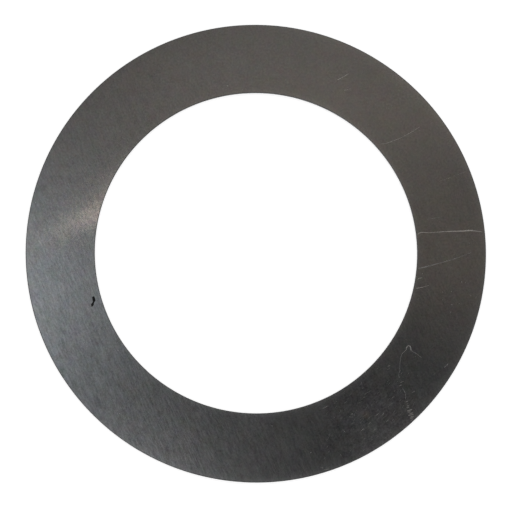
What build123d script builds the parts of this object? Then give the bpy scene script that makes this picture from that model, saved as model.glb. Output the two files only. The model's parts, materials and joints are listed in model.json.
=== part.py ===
from build123d import *

import os
from math import radians, tan

# A flat steel shim ring for a 28 mm shaft in a 40 mm housing, blanked from cold-rolled strip.
# It lies flat. The origin is the centre of the bore on the lower face, and +Z is the bore's axis.
# All sizes are in millimetres.

# Driving dimensions
bore_diameter = 28.0  # across the burnished land in the bore, where the shaft passes
outer_diameter = 40.0  # across the burnished land on the rim
sheet_thickness = 0.5
die_roll_radius = 0.06  # rounding that the die pulls into the upper face beside each cut
fracture_depth = 0.22  # height of the torn zone, from the lower face up to the burnished land
fracture_angle = 7.0  # degrees that the torn zone leans back from the land
edge_break = 0.02  # burr tumbled off at the lower face

bore_radius = bore_diameter / 2
outer_radius = outer_diameter / 2
mid_band_radius = (bore_radius + outer_radius) / 2
fracture_setback = fracture_depth * tan(radians(fracture_angle))

os.makedirs("parts", exist_ok=True)

with BuildPart() as shim_ring:
    # One compound die cuts the bore and the rim in the same stroke, so the two sheared edges
    # mirror each other about the middle of the band: rounded at the upper face, a straight
    # burnished land below that, then a torn zone that leans back to the lower face.
    with BuildSketch(Plane.XZ):
        with BuildLine():
            rim_half = Polyline(
                (mid_band_radius, 0),
                (outer_radius - fracture_setback, 0),
                (outer_radius, fracture_depth),
                (outer_radius, sheet_thickness),
                (mid_band_radius, sheet_thickness),
            )
            mirror(rim_half, about=Plane.YZ.offset(mid_band_radius))
        make_face()
    revolve(axis=Axis.Z)

    upper_edges = shim_ring.edges().group_by(Axis.Z)[-1]
    fillet(upper_edges, radius=die_roll_radius)

    lower_edges = shim_ring.edges().group_by(Axis.Z)[0]
    chamfer(lower_edges, length=edge_break)

shim_ring.part.label = "shim_ring"
export_step(shim_ring.part, "parts/shim_ring.step")
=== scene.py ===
import json
import math
import random

import bpy
from mathutils import Matrix, Vector, noise
from mathutils.geometry import delaunay_2d_cdt


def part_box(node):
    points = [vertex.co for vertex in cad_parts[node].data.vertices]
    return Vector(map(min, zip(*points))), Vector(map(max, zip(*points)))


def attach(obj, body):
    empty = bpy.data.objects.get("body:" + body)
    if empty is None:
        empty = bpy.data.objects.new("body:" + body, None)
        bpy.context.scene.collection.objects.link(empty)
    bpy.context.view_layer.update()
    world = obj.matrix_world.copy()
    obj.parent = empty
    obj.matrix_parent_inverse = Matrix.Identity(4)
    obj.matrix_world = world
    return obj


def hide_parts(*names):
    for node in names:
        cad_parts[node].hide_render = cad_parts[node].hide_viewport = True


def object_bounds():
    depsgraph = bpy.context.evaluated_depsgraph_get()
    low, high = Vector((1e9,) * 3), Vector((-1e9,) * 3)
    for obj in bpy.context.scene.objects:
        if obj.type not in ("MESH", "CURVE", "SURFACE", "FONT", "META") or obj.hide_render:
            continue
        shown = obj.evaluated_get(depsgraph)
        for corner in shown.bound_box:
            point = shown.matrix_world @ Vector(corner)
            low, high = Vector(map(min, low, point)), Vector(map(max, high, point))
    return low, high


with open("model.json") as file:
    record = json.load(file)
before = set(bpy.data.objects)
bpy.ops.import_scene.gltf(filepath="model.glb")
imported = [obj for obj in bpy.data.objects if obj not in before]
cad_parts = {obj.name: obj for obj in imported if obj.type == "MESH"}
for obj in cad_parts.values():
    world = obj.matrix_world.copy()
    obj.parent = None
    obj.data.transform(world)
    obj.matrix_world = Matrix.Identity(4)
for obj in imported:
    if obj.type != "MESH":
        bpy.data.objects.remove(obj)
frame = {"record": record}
cad_low, cad_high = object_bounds()

# ---------------------------------------------------------------------------------------------
# Sizes. The ring is drawn in millimetres and scaled to the frame's metres when its mesh is made.
# ---------------------------------------------------------------------------------------------
MM = 0.001
ring_low, ring_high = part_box("shim_ring")
mounts = {mount["name"]: mount for mount in frame["record"]["mounts"]}

OUTER_RADIUS = min(ring_high.x, ring_high.y, -ring_low.x, -ring_low.y) / MM
BORE_RADIUS = mounts["bore"]["dims"]["r_mm"]
THICKNESS = (ring_high.z - ring_low.z) / MM

# The sheared edge, as in the solid
DIE_ROLL = 0.06
FRACTURE_DEPTH = 0.22
FRACTURE_ANGLE = math.radians(7.0)
EDGE_BREAK = 0.02
# and what the solid leaves out: the line where the land tears wanders, and the torn zone is rough
FRACTURE_WANDER = 0.03
WANDER_WAVES = ((9, 1.0), (31, 0.5), (97, 0.4))  # waves about the ring's middle, and each one's share
TEAR_DEPTH = 0.007

SEGMENTS = 720  # round the ring
ROLL_STEPS = 8
TORN_STEPS = 4
CORNER_ANGLE = math.radians(25)  # edges that fold more than this are sharp

GRAIN_ANGLE = math.radians(114.0)  # the strip's rolling direction, from +X

# ---------------------------------------------------------------------------------------------
# Marks on the upper face. A mark is a material slot and a centre line of (x, y, half width), in
# millimetres from the ring's centre, +Y away from the viewer.
# ---------------------------------------------------------------------------------------------
FACE, LAND, TORN, SCUFF, FAINT, BARE, FLECK = range(7)  # the ring's material slots

SCRATCHES = [
    # The bright one that crosses the band right of the bore, and the fainter ones about it
    (
        BARE,
        [(13.95, 1.55, 0.035), (14.3, 1.8, 0.03), (15.15, 1.8, 0.016), (16.5, 1.9, 0.031),
         (17.9, 1.95, 0.048), (18.55, 2.0, 0.056), (19.15, 1.95, 0.032), (19.85, 1.85, 0.012)],
    ),
    (FAINT, [(14.8, 2.95, 0.016), (15.4, 3.05, 0.018), (16.1, 3.15, 0.009)]),
    (
        FAINT,
        [(14.05, -1.35, 0.055), (14.9, -1.15, 0.05), (16.0, -0.85, 0.031), (17.35, -0.45, 0.023),
         (18.8, 0.1, 0.012)],
    ),
    (BARE, [(14.0, -2.3, 0.045), (14.2, -2.2, 0.022), (14.45, -2.15, 0.016)]),
    (BARE, [(13.85, -3.1, 0.018), (14.3, -3.0, 0.022), (14.55, -2.95, 0.016), (15.05, -2.8, 0.006)]),
    # Upper right
    (
        BARE,
        [(10.8, 9.55, 0.009), (11.3, 9.6, 0.015), (12.0, 9.85, 0.016), (12.8, 10.2, 0.009),
         (13.6, 10.65, 0.015), (14.3, 11.1, 0.007)],
    ),
    (BARE, [(7.05, 15.15, 0.017), (7.6, 15.45, 0.021), (8.1, 15.75, 0.018)]),
    (BARE, [(7.65, 14.25, 0.01), (7.85, 14.3, 0.01), (8.3, 14.4, 0.004)]),
    (FAINT, [(11.25, 12.65, 0.012), (11.7, 12.85, 0.018), (12.05, 13.05, 0.012)]),
    (FAINT, [(15.95, 6.3, 0.006), (17.1, 6.7, 0.01), (18.25, 7.15, 0.016)]),
    # The hook at the lower right: its tail, its arch and its long stem
    (
        FAINT,
        [(14.4, -9.15, 0.012), (14.2, -9.0, 0.01), (13.95, -8.8, 0.02), (13.6, -8.6, 0.018),
         (13.45, -8.5, 0.026), (13.4, -8.25, 0.045), (13.3, -8.1, 0.041), (13.15, -8.1, 0.042),
         (13.05, -8.25, 0.048), (13.0, -8.45, 0.018), (12.7, -8.75, 0.016), (12.55, -9.05, 0.019),
         (12.45, -9.9, 0.012), (12.45, -10.25, 0.012),
         (12.35, -10.65, 0.009), (12.45, -10.95, 0.014)],
    ),
    # Below the hook's stem the scratch goes on, between the cuts of its chatter
    (FAINT, [(12.65, -11.7, 0.01), (12.9, -12.2, 0.016), (12.95, -12.8, 0.012)]),
]

# Ticks, the short straight marks: a slot, the middle, the length, the heading in degrees and half the width
TICKS = [
    # Between the hook and the rim
    (FAINT, 11.65, -13.2, 0.5, 40, 0.009),
    (FAINT, 13.65, -12.1, 0.35, 30, 0.017),
    (FAINT, 16.5, -9.8, 0.55, 45, 0.034),
    (FAINT, 9.2, -15.4, 0.5, 35, 0.018),
    (FAINT, 10.45, -14.1, 0.4, 40, 0.019),
    (FAINT, 11.35, -14.65, 0.4, 45, 0.015),
    (FAINT, 9.8, -14.85, 0.4, 35, 0.014),
    (FAINT, 6.0, -13.45, 0.65, 25, 0.023),
    (FAINT, 11.5, -9.85, 0.3, 30, 0.022),
    # Glints beside the rim at the bottom
    (FAINT, 5.7, -18.7, 0.25, 0, 0.018),
    (FAINT, 6.05, -18.85, 0.45, 5, 0.042),
    # The scuffs that show most at the lower right
    (FAINT, 7.35, -17.65, 0.4, 105, 0.01),
    (FAINT, 5.95, -17.85, 0.25, 90, 0.01),
    (FAINT, 10.25, -15.4, 0.25, 40, 0.022),
    (FAINT, 11.85, -12.6, 0.4, 40, 0.014),
    (FAINT, 7.6, -15.5, 0.35, 130, 0.013),
    (FAINT, 11.0, -14.05, 0.3, 70, 0.015),
    (FAINT, 11.85, -14.55, 0.15, 40, 0.026),
    (FAINT, 8.3, -14.05, 0.25, 25, 0.018),
    # Specks right of the bore, and one above it
    (FAINT, 18.55, 0.9, 0.12, 30, 0.03),
    (FAINT, 17.45, 1.5, 0.12, 30, 0.03),
    (FAINT, 14.45, -1.8, 0.12, 30, 0.03),
    (FAINT, 16.95, -3.35, 0.12, 30, 0.03),
    (FAINT, 18.65, -3.7, 0.12, 30, 0.03),
    (FAINT, 17.0, -4.5, 0.12, 30, 0.03),
    (FAINT, 16.9, -5.15, 0.12, 30, 0.03),
    (BARE, -2.5, 14.6, 0.12, 30, 0.05),
]
TICK_TAPER = 0.6  # of a tick's width, near its ends

# Chatter from the hook's stem to the rim. Each cut is its middle, its length and half its width.
CHATTER = [
    (12.6, -11.25, 0.28, 0.022), (12.5, -11.55, 0.3, 0.026), (13.05, -12.95, 0.24, 0.036),
    (13.1, -13.15, 0.18, 0.024), (13.15, -13.3, 0.22, 0.03), (13.15, -13.45, 0.26, 0.05),
    (13.3, -13.7, 0.52, 0.05), (13.25, -13.85, 0.28, 0.035),
    (13.45, -13.95, 0.36, 0.05), (13.4, -14.1, 0.52, 0.045), (13.5, -14.28, 0.34, 0.05),
    (13.45, -14.4, 0.28, 0.034), (13.5, -14.55, 0.28, 0.045),
]
CHATTER_TURN = (30.0, 6.0)  # a cut's heading in degrees, at the hook and at the rim
CHATTER_TAPER = 1.0

# The fleck beside the bore: two rolled-in specks of scale that have run together
SCALE_FLECK = (
    FLECK,
    [(-14.1, -3.85, 0.06), (-14.1, -4.0, 0.105), (-14.05, -4.25, 0.11), (-14.1, -4.38, 0.08),
     (-14.2, -4.6, 0.11), (-14.25, -4.8, 0.035)],
)

# Handling has scuffed this patch, mostly at one slant
SCUFFED_CENTRE = (10.6, -14.8)
SCUFFED_SPREAD = 7.5
SCUFF_ANGLE = math.radians(47.0)

# Chance marks: slot, centre, spread, how many are tried, the longest, the widest half width
CHANCE_MARKS = [
    (SCUFF, SCUFFED_CENTRE, 2.2, 110, 0.6, 0.026),
    (SCUFF, (12.5, -12.0), 3.0, 60, 0.45, 0.022),
    (FAINT, (16.8, -3.5), 2.5, 8, 0.25, 0.014),
    (FAINT, (0.0, 0.0), 20.0, 30, 0.3, 0.014),
    # Specks: right of the bore, along the lower part and on the left
    (FAINT, (17.6, -4.5), 1.6, 9, 0.12, 0.032),
    (FAINT, (7.0, -16.5), 4.0, 12, 0.12, 0.032),
    (BARE, (-14.0, -2.0), 7.0, 20, 0.12, 0.045),
]
CHANCE_TURN = math.radians(12)  # spread of their headings about the scuffs' slant
SHORTEST = 0.4  # of the longest
NARROWEST = 0.5  # of the widest
CHANCE_TAPER = 0.5
CLEARANCE = 0.12  # kept between a chance mark and the marks before it

SAMPLE_SPACING = 0.1  # along a mark's centre line
FACE_MARGIN = 0.03  # kept between a mark and the die roll
GROOVE_DEPTH = 0.25  # of its half width
RAGGED = 0.2  # a groove's half width varies by this share of itself,
VALLEY_STRAY = 0.25  # and its valley strays from the middle by this share of it
SAME_POINT = 1e-6  # points of the face closer than this are one

SCRATCH_SEED = 3
RIM_SEED = 5
BORE_SEED = 6
CHATTER_SEED = 7
CHANCE_SEED = 41


def smooth_line(points, spacing):
    """Samples of a Catmull-Rom curve through the points, about every `spacing`.

    At least one lies between two of the points.
    """
    knots = [Vector(p) for p in points]
    ends = [knots[0] * 2 - knots[1], *knots, knots[-1] * 2 - knots[-2]]
    samples = []
    for before, start, end, after in zip(ends, ends[1:], ends[2:], ends[3:]):
        steps = max(2, round((end - start).length / spacing))
        for step in range(steps):
            t = step / steps
            samples.append(
                0.5
                * (
                    2 * start
                    + (end - before) * t
                    + (2 * before - 5 * start + 4 * end - after) * t**2
                    + (3 * start - before - 3 * end + after) * t**3
                )
            )
    samples.append(knots[-1])
    return samples


def between(ends, share):
    return ends[0] + (ends[1] - ends[0]) * share


def on_face(point):
    inner = BORE_RADIUS + DIE_ROLL + FACE_MARGIN
    outer = OUTER_RADIUS - DIE_ROLL - FACE_MARGIN
    return inner < point.length < outer


class Face:
    """The upper face as a constrained triangulation.

    It has points, each with a depth and a slot, and lines that stay edges.
    """

    def __init__(self):
        self.points = []
        self.lines = []
        self.depth = []
        self.slot = []
        self.taken = []  # where marks are, so that chance marks stay clear of them

    def add(self, point, depth=0.0, slot=FACE):
        self.points.append(Vector(point))
        self.depth.append(depth)
        self.slot.append(slot)
        return len(self.points) - 1

    def loop(self, radius):
        turn = 2 * math.pi / SEGMENTS
        first = len(self.points)
        for k in range(SEGMENTS):
            self.add((radius * math.cos(k * turn), radius * math.sin(k * turn)))
        self.lines += [(first + k, first + (k + 1) % SEGMENTS) for k in range(SEGMENTS)]

    def is_clear(self, samples):
        return all((a - b).length > CLEARANCE for a in samples for b in self.taken)

    def groove(self, slot, line, rng):
        """A V groove that runs out at both ends."""
        samples = [p for p in smooth_line(line, SAMPLE_SPACING) if on_face(p.xy)]
        last = len(samples) - 1
        if last < 2:
            return
        self.taken += [p.xy for p in samples]
        ends = (self.add(samples[0].xy), self.add(samples[-1].xy))
        chains = ([ends[0]], [ends[0]], [ends[0]])
        for k in range(1, last):
            along = (samples[k + 1].xy - samples[k - 1].xy).normalized()
            across = Vector((-along.y, along.x))
            half = samples[k].z * (1 + RAGGED * rng.uniform(-1, 1))
            middle = samples[k].xy
            chains[0].append(self.add(middle + across * half))
            valley = middle + across * half * rng.uniform(-VALLEY_STRAY, VALLEY_STRAY)
            chains[1].append(self.add(valley, GROOVE_DEPTH * half, slot))
            chains[2].append(self.add(middle - across * half))
        for chain in chains:
            chain.append(ends[1])
            self.lines += list(zip(chain, chain[1:]))

    def triangles(self):
        """Points, their depths, the triangles with their slots, and each added point's new index.

        The bore is cut out.
        """
        points, _, faces, origins, _, _ = delaunay_2d_cdt(self.points, self.lines, [], 0, SAME_POINT)
        depths = [max((self.depth[k] for k in made_from), default=0.0) for made_from in origins]
        slots = [max((self.slot[k] for k in made_from), default=FACE) for made_from in origins]
        bore_chord = (BORE_RADIUS + DIE_ROLL) * math.cos(math.pi / SEGMENTS)
        kept = []
        for face in faces:
            middle = sum((points[k] for k in face), Vector((0, 0))) / len(face)
            if middle.length > bore_chord:
                kept.append((face, max(slots[k] for k in face)))
        place = {k: new for new, made_from in enumerate(origins) for k in made_from}
        return points, depths, kept, place


def tick(face, slot, middle, length, heading, half, rng, taper):
    """A short straight groove.

    The heading is in radians, and taper is the share of the half width near its ends.
    """
    reach = Vector((math.cos(heading), math.sin(heading))) * length / 2
    line = [(*(middle - reach), half * taper), (*middle, half), (*(middle + reach), half * taper)]
    face.groove(slot, line, rng)


def chance_marks(face):
    """Handling scuffs: fine ticks all over, thickest on the lower right, and a few specks."""
    rng = random.Random(CHANCE_SEED)
    for slot, centre, spread, count, longest, widest in CHANCE_MARKS:
        for _ in range(count):
            start = Vector((rng.gauss(centre[0], spread), rng.gauss(centre[1], spread)))
            heading = rng.gauss(SCUFF_ANGLE, CHANCE_TURN)
            length = rng.uniform(SHORTEST, 1.0) * longest
            end = start + Vector((math.cos(heading), math.sin(heading))) * length
            half = rng.uniform(NARROWEST, 1.0) * widest
            samples = smooth_line([start, end], SAMPLE_SPACING)
            if all(on_face(p) for p in samples) and face.is_clear(samples):
                tick(face, slot, (start + end) / 2, length, heading, half, rng, CHANCE_TAPER)


def chatter(face):
    rng = random.Random(CHATTER_SEED)
    for k, (x, y, length, half) in enumerate(CHATTER):
        heading = math.radians(between(CHATTER_TURN, k / (len(CHATTER) - 1)))
        tick(face, FAINT, Vector((x, y)), length, heading, half, rng, CHATTER_TAPER)


def edge_rows(direction, radius, seed):
    """Rows of points down one sheared edge, from the upper face's border to the lower face's.

    direction is +1 where the metal ends at the rim and -1 where it ends at the bore.
    """
    turn = 2 * math.pi / SEGMENTS
    tearing = random.Random(seed)
    fracture_setback = FRACTURE_DEPTH * math.tan(FRACTURE_ANGLE)
    rows = []

    def ring(setbacks, heights):
        row = []
        for k, (setback, height) in enumerate(zip(setbacks, heights)):
            out = radius - direction * setback
            row.append((out * math.cos(k * turn), out * math.sin(k * turn), height))
        rows.append(row)

    for step in range(ROLL_STEPS + 1):
        angle = math.pi / 2 * step / ROLL_STEPS
        setback = DIE_ROLL * (1 - math.sin(angle))
        drop = DIE_ROLL * (1 - math.cos(angle))
        ring([setback] * SEGMENTS, [THICKNESS - drop] * SEGMENTS)

    tear_line = []
    for k in range(SEGMENTS):
        place = Vector((math.cos(k * turn), math.sin(k * turn), seed))
        wander = sum(share * noise.noise(place * waves) for waves, share in WANDER_WAVES)
        tear_line.append(FRACTURE_DEPTH + FRACTURE_WANDER * wander)
    ring([0.0] * SEGMENTS, tear_line)

    for step in range(1, TORN_STEPS):
        share = step / TORN_STEPS
        ring(
            [fracture_setback * share + TEAR_DEPTH * tearing.random() for _ in range(SEGMENTS)],
            [top * (1 - share) + EDGE_BREAK * share for top in tear_line],
        )
    ring([fracture_setback] * SEGMENTS, [EDGE_BREAK] * SEGMENTS)
    ring([fracture_setback + EDGE_BREAK] * SEGMENTS, [0.0] * SEGMENTS)
    return rows


def sharpen(mesh):
    """Sharp edges at the sheared edge's corners and wherever the material changes.

    The face shades flat between them.
    """
    slots_at = {}
    for polygon in mesh.polygons:
        for key in polygon.edge_keys:
            slots_at.setdefault(key, set()).add(polygon.material_index)
    mesh.set_sharp_from_angle(angle=CORNER_ANGLE)
    sharp = mesh.attributes["sharp_edge"].data
    for edge in mesh.edges:
        if len(slots_at[edge.key]) > 1:
            sharp[edge.index].value = True


def make_ring():
    face = Face()
    face.loop(OUTER_RADIUS - DIE_ROLL)
    face.loop(BORE_RADIUS + DIE_ROLL)
    rng = random.Random(SCRATCH_SEED)
    for slot, line in SCRATCHES:
        face.groove(slot, line, rng)
    face.groove(*SCALE_FLECK, rng)
    for slot, x, y, length, heading, half in TICKS:
        tick(face, slot, Vector((x, y)), length, math.radians(heading), half, rng, TICK_TAPER)
    chatter(face)
    chance_marks(face)
    points, depths, triangles, place = face.triangles()

    vertices = [(p.x, p.y, THICKNESS - d) for p, d in zip(points, depths)]
    faces = []
    slots = []
    for corners, slot in triangles:
        faces.append(tuple(corners))
        slots.append(slot)

    borders = []
    edges = ((0, 1, OUTER_RADIUS, RIM_SEED), (SEGMENTS, -1, BORE_RADIUS, BORE_SEED))
    for first, direction, radius, seed in edges:
        above = [place[first + k] for k in range(SEGMENTS)]
        for step, row in enumerate(edge_rows(direction, radius, seed)[1:]):
            below = list(range(len(vertices), len(vertices) + SEGMENTS))
            vertices += row
            zone = LAND if step <= ROLL_STEPS else TORN
            for k in range(SEGMENTS):
                after = (k + 1) % SEGMENTS
                quad = (above[k], below[k], below[after], above[after])
                faces.append(quad if direction > 0 else quad[::-1])
                slots.append(zone)
            above = below
        borders.append(above)
    rim, bore = borders
    for k in range(SEGMENTS):
        after = (k + 1) % SEGMENTS
        faces.append((rim[k], bore[k], bore[after], rim[after]))
        slots.append(FACE)

    mesh = bpy.data.meshes.new("shim_ring_finished")
    mesh.from_pydata([(x * MM, y * MM, z * MM) for x, y, z in vertices], [], faces)
    mesh.polygons.foreach_set("material_index", slots)
    mesh.polygons.foreach_set("use_smooth", [True] * len(faces))

    # The rolling direction, for the anisotropic gloss: U runs across the grain
    across = Vector((math.sin(GRAIN_ANGLE), -math.cos(GRAIN_ANGLE)))
    along = Vector((-across.y, across.x))
    grain_map = mesh.uv_layers.new(name="rolling")
    for loop in mesh.loops:
        flat = mesh.vertices[loop.vertex_index].co.xy / MM / (2 * OUTER_RADIUS)
        grain_map.data[loop.index].uv = (flat.dot(across) + 0.5, flat.dot(along) + 0.5)
    mesh.update()
    mesh.validate()
    sharpen(mesh)

    ring = bpy.data.objects.new("shim_ring_finished", mesh)
    bpy.context.collection.objects.link(ring)
    return ring


# ---------------------------------------------------------------------------------------------
# Materials
# ---------------------------------------------------------------------------------------------
WHITE = (1, 1, 1, 1)
BLACK = (0, 0, 0, 1)
SEEN_FROM_ABOVE = (1, 1, 0)  # a place times this loses its height
NOISE_REACH = (0.3, 0.7)  # most of a noise lies between these


class Nodes:
    """Short names for building a node tree."""

    def __init__(self, tree):
        self.tree = tree
        tree.nodes.clear()

    def make(self, kind, inputs=None, **settings):
        node = self.tree.nodes.new(kind)
        for name, value in settings.items():
            setattr(node, name, value)
        for name, value in (inputs or {}).items():
            socket = node.inputs[name]
            if isinstance(value, bpy.types.NodeSocket):
                self.tree.links.new(value, socket)
            else:
                socket.default_value = value
        return node

    def math(self, operation, a, b=0.0, c=0.0):
        return self.make("ShaderNodeMath", {0: a, 1: b, 2: c}, operation=operation).outputs[0]

    def vector(self, operation, a, b=(0, 0, 0), c=(0, 0, 0)):
        output = "Value" if operation in ("LENGTH", "DOT_PRODUCT") else "Vector"
        return self.make("ShaderNodeVectorMath", {0: a, 1: b, 2: c}, operation=operation).outputs[output]

    def mix_colour(self, factor, a, b, blend="MIX"):
        node = self.make("ShaderNodeMix", data_type="RGBA", blend_type=blend)
        for index, value in ((0, factor), (6, a), (7, b)):
            if isinstance(value, bpy.types.NodeSocket):
                self.tree.links.new(value, node.inputs[index])
            else:
                node.inputs[index].default_value = value
        return node.outputs[2]

    def toned(self, colour, tone):
        """The colour, made lighter or darker."""
        factor = self.make("ShaderNodeCombineColor", {0: tone, 1: tone, 2: tone}).outputs[0]
        return self.mix_colour(1.0, colour, factor, "MULTIPLY")

    def ramp(self, value, start, end, low=0.0, high=1.0, interpolation="LINEAR"):
        """From low to high while the value goes from start to end, and level outside."""
        ends = {"Value": value, "From Min": start, "From Max": end, "To Min": low, "To Max": high}
        return self.make("ShaderNodeMapRange", ends, interpolation_type=interpolation).outputs[0]

    def place(self, turn=0.0, stretch=(1, 1, 1)):
        """Object coordinates in millimetres, turned about Z and stretched."""
        where = self.make("ShaderNodeTexCoord").outputs["Object"]
        turned = self.make(
            "ShaderNodeMapping",
            {"Vector": where, "Rotation": (0, 0, -turn), "Scale": (1 / MM, 1 / MM, 1 / MM)},
        ).outputs[0]
        return self.vector("MULTIPLY", turned, stretch)

    def distance(self, vector):
        """The vector's length as seen from above."""
        return self.vector("LENGTH", self.vector("MULTIPLY", vector, SEEN_FROM_ABOVE))

    def noise(self, vector, scale=1.0, detail=2.0, roughness=0.5):
        return self.make(
            "ShaderNodeTexNoise", {"Vector": vector, "Scale": scale, "Detail": detail, "Roughness": roughness}
        ).outputs["Fac"]

    def swing(self, noise, amount):
        """The noise about zero, times the amount."""
        return self.math("MULTIPLY_ADD", noise, amount, -0.5 * amount)

    def across_ring(self, turn):
        """From 0 at one side of the ring to 1 at the other, towards the turn."""
        x = self.make("ShaderNodeSeparateXYZ", {0: self.place(turn)}).outputs[0]
        return self.ramp(x, -OUTER_RADIUS, OUTER_RADIUS)

    def patch(self, centre, spread):
        """1 at a place, fading to 0 about it."""
        offset = self.vector("SUBTRACT", self.place(), (*centre, 0))
        return self.ramp(self.distance(offset), spread, 0.0, interpolation="SMOOTHSTEP")

    def tint(self, scale, amount):
        """A little colour either way, as a vector about zero."""
        noise = self.make(
            "ShaderNodeTexNoise", {"Vector": self.place(), "Scale": scale, "Detail": 3.0, "Roughness": 0.6}
        )
        half = -0.5 * amount
        return self.vector("MULTIPLY_ADD", noise.outputs["Color"], (amount,) * 3, (half,) * 3)

    def beside_edges(self, width):
        """1 at the rim and at the bore, falling off over the width."""
        radius = self.distance(self.place())
        from_rim = self.math("SUBTRACT", OUTER_RADIUS, radius)
        from_bore = self.math("SUBTRACT", radius, BORE_RADIUS)
        nearest = self.math("MINIMUM", from_rim, self.math("MULTIPLY", from_bore, BORE_NARROWER))
        return self.math("EXPONENT", self.math("MULTIPLY", nearest, -1 / width))

    def bump(self, height, relief, strength=1.0):
        """The normal of a surface whose height swings by the relief, in millimetres."""
        return self.make(
            "ShaderNodeBump", {"Strength": strength, "Distance": relief * MM, "Height": height}
        ).outputs[0]

    def principled(self, inputs):
        """Makes this the material's surface."""
        shader = self.make("ShaderNodeBsdfPrincipled", inputs).outputs[0]
        self.make("ShaderNodeOutputMaterial", {"Surface": shader})


def new_material(name):
    material = bpy.data.materials.new(name)
    material.use_nodes = True
    return material, Nodes(material.node_tree)


def grey(level, warmth=0.0):
    return (level * (1 + warmth), level, level * (1 - warmth), 1.0)


STEEL = 0.08  # linear
STEEL_WARMTH = 0.02
FACE_ROUGHNESS = 0.115
FACE_ANISOTROPY = 0.8
PRESSED_ANGLE = math.radians(238.0)  # towards the side where the roll pressed harder
WEAR_AND_GLARE_ANGLE = math.radians(340.0)  # towards the side where the edges are worn most and the painted glare beside them is brightest

# The face's noises, in cells per millimetre,
SPECKLE_SCALE = 6.0
BLOTCH_SCALE = 1.3
CLOUD_SCALE = 0.22
TINT_SCALES = (2.5, 0.9)
# and the stretched ones, in cells per millimetre along their direction, across it and upwards
GRAIN_SCALES = (2.6, 8.0, 1.0)
STREAK_SCALES = (1.0, 5.0, 1.0)
STROKE_SCALES = (2.0, 8.0, 1.0)

TINT_SWING = 0.17
CLOUD_ROUGHNESS = 0.03
GRAIN_DEPTH = 0.0025  # millimetres
STREAK_HEIGHT = 1.5  # times the grain's
STROKE_REACH = (0.52, 0.75)  # the part of the noise that shows as strokes
STROKE_TONES = (-0.06, 0.5)

WEAR_AND_GLARE_WIDTH = 0.4  # millimetres of face beside each edge, worn duller and painted brighter as a painted glare
BORE_NARROWER = 1.5  # times narrower beside the bore
# the share by which the face beside the edges is made lighter: a painted glare
PAINTED_GLARE_TONE = 0.5
WORN_ROUGHNESS = 0.12

TONE_PATCHES = [
    # Patches made brighter or darker: centre, spread, change of colour
    ((11.6, -15.8), 4.5, (0.18, 0.13, 0.15)),
    ((8.6, -12.0), 5.0, (-0.12, -0.12, -0.1)),
    ((-17.0, 8.5), 4.0, (0.06, 0.05, 0.04)),
    ((9.5, -14.1), 0.55, (0.3, 0.18, 0.04)),
    ((9.6, -14.8), 3.0, (0.09, 0.11, 0.12)),
    ((6.3, -16.6), 2.5, (-0.1, -0.1, -0.09)),
    ((13.6, -9.2), 4.0, (-0.08, -0.07, -0.06)),
    ((-17.2, -8.6), 0.35, (0.3, 0.3, 0.3)),
]


def rolled_steel(name):
    """Bare rolled strip.

    It has fine speckle, broken grain lines along the rolling direction, faint clouds, and worn edges with
    painted glare.
    """
    material, n = new_material(name)
    speckle = n.noise(n.place(), SPECKLE_SCALE)
    grain = n.noise(n.place(GRAIN_ANGLE, GRAIN_SCALES), roughness=0.6)
    streak = n.noise(n.place(GRAIN_ANGLE, STREAK_SCALES))
    stroke = n.noise(n.place(SCUFF_ANGLE, STROKE_SCALES))
    blotch = n.noise(n.place(), BLOTCH_SCALE)
    cloud = n.noise(n.place(), CLOUD_SCALE, detail=3.0)

    # The lines are plainest on the side where the roll pressed harder, and the scuffs are on one patch
    pressed = n.across_ring(PRESSED_ANGLE)
    scuffed = n.patch(SCUFFED_CENTRE, SCUFFED_SPREAD)
    # Beside the edges the face is worn rougher, and painted lighter as a painted glare
    wear_and_glare = n.math("MULTIPLY", n.beside_edges(WEAR_AND_GLARE_WIDTH), n.across_ring(WEAR_AND_GLARE_ANGLE))
    tone = 1.0
    for share, noise_value, amount in (
        (1.0, speckle, 0.65),
        (pressed, grain, 0.9),
        (pressed, streak, 0.65),
        (pressed, blotch, 0.2),
        (scuffed, speckle, 0.6),
        (scuffed, blotch, 0.65),
        (1.0, blotch, 0.1),
        (1.0, cloud, 0.14),
    ):
        tone = n.math("ADD", tone, n.math("MULTIPLY", share, n.swing(noise_value, amount)))
    strokes = n.ramp(stroke, *STROKE_REACH, *STROKE_TONES)
    tone = n.math("ADD", tone, n.math("MULTIPLY", scuffed, strokes))
    # Painted glare: the face beside the edges is made lighter
    tone = n.math("ADD", tone, n.math("MULTIPLY", wear_and_glare, PAINTED_GLARE_TONE))

    fine_tint, broad_tint = (n.tint(scale, TINT_SWING) for scale in TINT_SCALES)
    colour = n.vector("ADD", n.vector("ADD", fine_tint, broad_tint), tone)
    for centre, spread, change in TONE_PATCHES:
        colour = n.vector("MULTIPLY_ADD", n.patch(centre, spread), change, colour)

    gloss = n.math("ADD", FACE_ROUGHNESS, n.swing(cloud, CLOUD_ROUGHNESS))
    n.principled(
        {
            "Base Color": n.mix_colour(1.0, grey(STEEL, STEEL_WARMTH), colour, "MULTIPLY"),
            "Metallic": 1.0,
            "Roughness": n.math("ADD", gloss, n.math("MULTIPLY", wear_and_glare, WORN_ROUGHNESS)),
            "Anisotropic": FACE_ANISOTROPY,
            "Tangent": n.make("ShaderNodeTangent", direction_type="UV_MAP", uv_map="rolling").outputs[0],
            "Normal": n.bump(n.math("ADD", grain, n.math("MULTIPLY", streak, STREAK_HEIGHT)), GRAIN_DEPTH),
        }
    )
    return material


# The cut edges. A pair is for the burnished land and for the torn zone.
SCORE_SCALES = (9.0, 9.0, 0.6)  # cells per millimetre: fine round the edge, long down it
GRAINS_SCALE = 12.0
SCORES_SWING = (1.2, 0.0)
GRAINS_SWING = (0.6, 2.0)
EDGE_RELIEF = (0.004, 0.024)  # millimetres
EDGE_ROUGHNESS_SWING = 0.2


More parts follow.
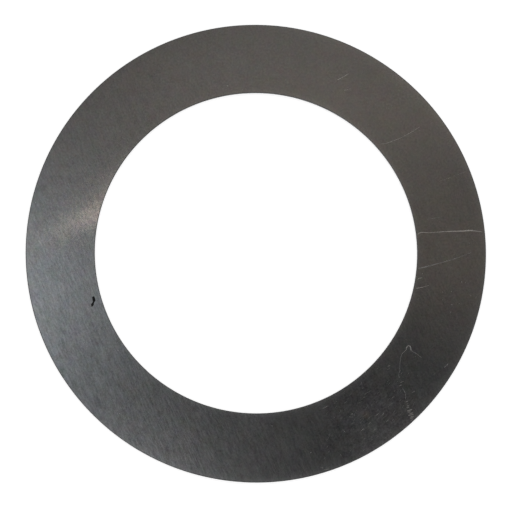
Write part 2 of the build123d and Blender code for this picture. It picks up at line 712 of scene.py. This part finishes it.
def sheared_steel(name, level, roughness, coarse):
    """The cut edges: die scores on the burnished land, coarse grains where the metal tore.

    coarse is 0 for the land and 1 for the torn zone.
    """
    material, n = new_material(name)
    score = n.noise(n.place(stretch=SCORE_SCALES), detail=3.0)
    grains = n.noise(n.place(), GRAINS_SCALE, detail=3.0)
    scored = n.swing(score, between(SCORES_SWING, coarse))
    grained = n.swing(grains, between(GRAINS_SWING, coarse))
    tone = n.math("ADD", 1.0, n.math("ADD", scored, grained))
    height = n.math("ADD", n.math("MULTIPLY", score, 1 - coarse), n.math("MULTIPLY", grains, coarse))
    n.principled(
        {
            "Base Color": n.toned(grey(level), tone),
            "Metallic": 1.0,
            "Roughness": n.math("ADD", roughness, n.swing(grains, EDGE_ROUGHNESS_SWING)),
            "Normal": n.bump(height, between(EDGE_RELIEF, coarse)),
        }
    )
    return material


DRAG_SCALE = 5.0  # cells per millimetre
DRAG_TONES = (0.8, 1.2)
DRAG_ROUGHNESS = 0.05


def scratched_steel(name, level, warmth, roughness):
    """Fresh metal inside a scratch."""
    material, n = new_material(name)
    drag = n.noise(n.place(), DRAG_SCALE)
    rough_ends = (roughness - DRAG_ROUGHNESS, roughness + DRAG_ROUGHNESS)
    n.principled(
        {
            "Base Color": n.toned(grey(level, warmth), n.ramp(drag, *NOISE_REACH, *DRAG_TONES)),
            "Metallic": 1.0,
            "Roughness": n.ramp(drag, *NOISE_REACH, *rough_ends),
        }
    )
    return material


OXIDE = 0.006  # linear
OXIDE_SPECULAR = 0.08
OXIDE_ROUGHNESS = (0.6, 0.8)
CRUMB_SCALE = 12.0  # cells per millimetre
CRUMB_TONES = (0.5, 1.5)
CRUMB_RELIEF = 0.01  # millimetres
CRUMB_STRENGTH = 0.5


def scale_fleck(name):
    """Black oxide, dull and crumbly."""
    material, n = new_material(name)
    crumbs = n.noise(n.place(), CRUMB_SCALE, detail=3.0)
    n.principled(
        {
            "Base Color": n.toned(grey(OXIDE), n.ramp(crumbs, *NOISE_REACH, *CRUMB_TONES)),
            "Metallic": 0.0,
            "Roughness": n.ramp(crumbs, *NOISE_REACH, *OXIDE_ROUGHNESS),
            "Specular IOR Level": OXIDE_SPECULAR,
            "Normal": n.bump(crumbs, CRUMB_RELIEF, CRUMB_STRENGTH),
        }
    )
    return material


ring = make_ring()
for material in (
    rolled_steel("rolled_steel"),
    sheared_steel("burnished_land", level=0.065, roughness=0.25, coarse=0.0),
    sheared_steel("torn_edge", level=0.045, roughness=0.55, coarse=1.0),
    scratched_steel("scuff", level=0.075, warmth=0.02, roughness=0.4),
    scratched_steel("faint_scratch", level=0.15, warmth=0.03, roughness=0.4),
    scratched_steel("bare_scratch", level=0.27, warmth=0.05, roughness=0.35),
    scale_fleck("scale_fleck"),
):
    ring.data.materials.append(material)
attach(ring, "root")
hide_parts("shim_ring")

# ---------------------------------------------------------------------------------------------
# Stage, light and camera
# ---------------------------------------------------------------------------------------------
FLOOR_SIZE = 4.0  # metres
FLOOR_GAP = 0.01 * MM  # keeps the floor from sharing the lower face's plane
FLOOR_COLOUR = (0.5, 0.5, 0.5, 1)
FLOOR_LIFT = 0.7  # light of its own, only seen or mirrored
ROOM_LIGHT = 0.9
ROOM_LIFT = 0.1  # more of it where seen or mirrored


def seen_or_reflected(n):
    """1 for rays from the camera, and for those that a mirror or a glass sends on."""
    rays = n.make("ShaderNodeLightPath").outputs
    mirrored = n.math("MAXIMUM", rays["Is Glossy Ray"], rays["Is Transmission Ray"])
    return n.math("MAXIMUM", rays["Is Camera Ray"], mirrored)


def make_floor():
    bpy.ops.mesh.primitive_plane_add(size=FLOOR_SIZE, location=(0, 0, cad_low.z - FLOOR_GAP))
    floor = bpy.context.object
    floor.name = "floor"
    material, n = new_material("pale_floor")
    paint = n.make("ShaderNodeBsdfDiffuse", {"Color": FLOOR_COLOUR})
    strength = n.math("MULTIPLY", seen_or_reflected(n), FLOOR_LIFT)
    lift = n.make("ShaderNodeEmission", {"Color": WHITE, "Strength": strength})
    both = n.make("ShaderNodeAddShader", {0: paint.outputs[0], 1: lift.outputs[0]})
    n.make("ShaderNodeOutputMaterial", {"Surface": both.outputs[0]})
    floor.data.materials.append(material)


def make_world():
    world = bpy.data.worlds.new("pale_room")
    world.use_nodes = True
    n = Nodes(world.node_tree)
    strength = n.math("ADD", n.math("MULTIPLY", seen_or_reflected(n), ROOM_LIFT), ROOM_LIGHT)
    room = n.make("ShaderNodeBackground", {"Color": WHITE, "Strength": strength})
    n.make("ShaderNodeOutputWorld", {"Surface": room.outputs[0]})
    bpy.context.scene.world = world


# The overhead diffuser that the flat face mirrors. Its light is graded, as it is across any real
# softbox: each glow is a centre and a spread in millimetres, (along, across) the grain, then its
# strength and its warmth.
DIFFUSER_HEIGHT = 60.0
DIFFUSER_SIZE = 160.0
DIFFUSER_LEVEL = 0.425
DIFFUSER_WARMTH = -0.01
DIFFUSER_FADE = (45.0, 78.0)  # distances from the middle between which it turns as white as the room
GLOWS = [
    ((15.1, 2.0), (0.3, 5.0), 10.7, 0.15),  # a thin lamp, the streak left of the bore
    ((17.0, 0.5), (0.8, 3.0), 2.4, 0.19),  # and the soft glow above it
    ((11.0, 21.5), (8.5, 9.0), 2.6, -0.09),  # cool, on the left
    ((-12.5, 29.0), (6.0, 10.0), 3.65, -0.05),  # cool, at the lower left
    ((-3.5, -22.5), (5.0, 4.0), 0.36, 0.25),  # warm, at the right
    ((12.0, -22.0), (7.5, 15.0), 0.6, 0.16),  # warm, at the upper right
    ((24.0, -7.0), (6.5, 15.0), 0.615, 0.09),  # warm, along the top
]


def make_diffuser():
    bpy.ops.mesh.primitive_plane_add(size=DIFFUSER_SIZE * MM, location=(0, 0, DIFFUSER_HEIGHT * MM))
    panel = bpy.context.object
    panel.name = "diffuser"
    panel.visible_camera = False
    panel.visible_diffuse = False
    panel.visible_shadow = False
    material, n = new_material("diffuser")
    where = n.place(GRAIN_ANGLE)
    light = grey(DIFFUSER_LEVEL, DIFFUSER_WARMTH)
    for centre, spread, strength, warmth in GLOWS:
        scaled = n.vector("DIVIDE", n.vector("SUBTRACT", where, (*centre, 0)), (*spread, 1))
        flat = n.vector("MULTIPLY", scaled, SEEN_FROM_ABOVE)
        squared = n.vector("DOT_PRODUCT", flat, flat)
        falloff = n.math("EXPONENT", n.math("MULTIPLY", squared, -0.5))
        light = n.mix_colour(1.0, light, n.mix_colour(falloff, BLACK, grey(strength, warmth)), "ADD")
    fade = n.ramp(n.distance(where), *DIFFUSER_FADE, interpolation="SMOOTHSTEP")
    light = n.mix_colour(fade, light, WHITE)
    glow = n.make("ShaderNodeEmission", {"Color": light, "Strength": 1.0})
    n.make("ShaderNodeOutputMaterial", {"Surface": glow.outputs[0]})
    panel.data.materials.append(material)


CAMERA_DISTANCE = 464.0 * MM
CAMERA_TILT = math.radians(6.7)  # from straight above
CAMERA_SIDE = math.radians(-106.0)  # towards this side of the ring
CAMERA_AIM = Vector((-0.1, -0.175)) * MM  # the place on the upper face at the picture's centre
SENSOR_WIDTH = 36.0
LENS = 376.85


def make_camera():
    data = bpy.data.cameras.new("camera")
    data.sensor_width = SENSOR_WIDTH
    data.lens = LENS
    camera = bpy.data.objects.new("camera", data)
    bpy.context.collection.objects.link(camera)
    aside = math.sin(CAMERA_TILT)
    away = Vector((aside * math.cos(CAMERA_SIDE), aside * math.sin(CAMERA_SIDE), math.cos(CAMERA_TILT)))
    camera.location = away * CAMERA_DISTANCE
    aim = Vector((*CAMERA_AIM, cad_high.z))
    back = (camera.location - aim).normalized()
    right = Vector((0, 1, 0)).cross(back).normalized()  # +Y is up in the picture
    camera.rotation_mode = "QUATERNION"
    camera.rotation_quaternion = Matrix((right, back.cross(right), back)).transposed().to_quaternion()
    bpy.context.scene.camera = camera


make_floor()
make_world()
make_diffuser()
make_camera()
bpy.context.scene.view_settings.view_transform = "Standard"
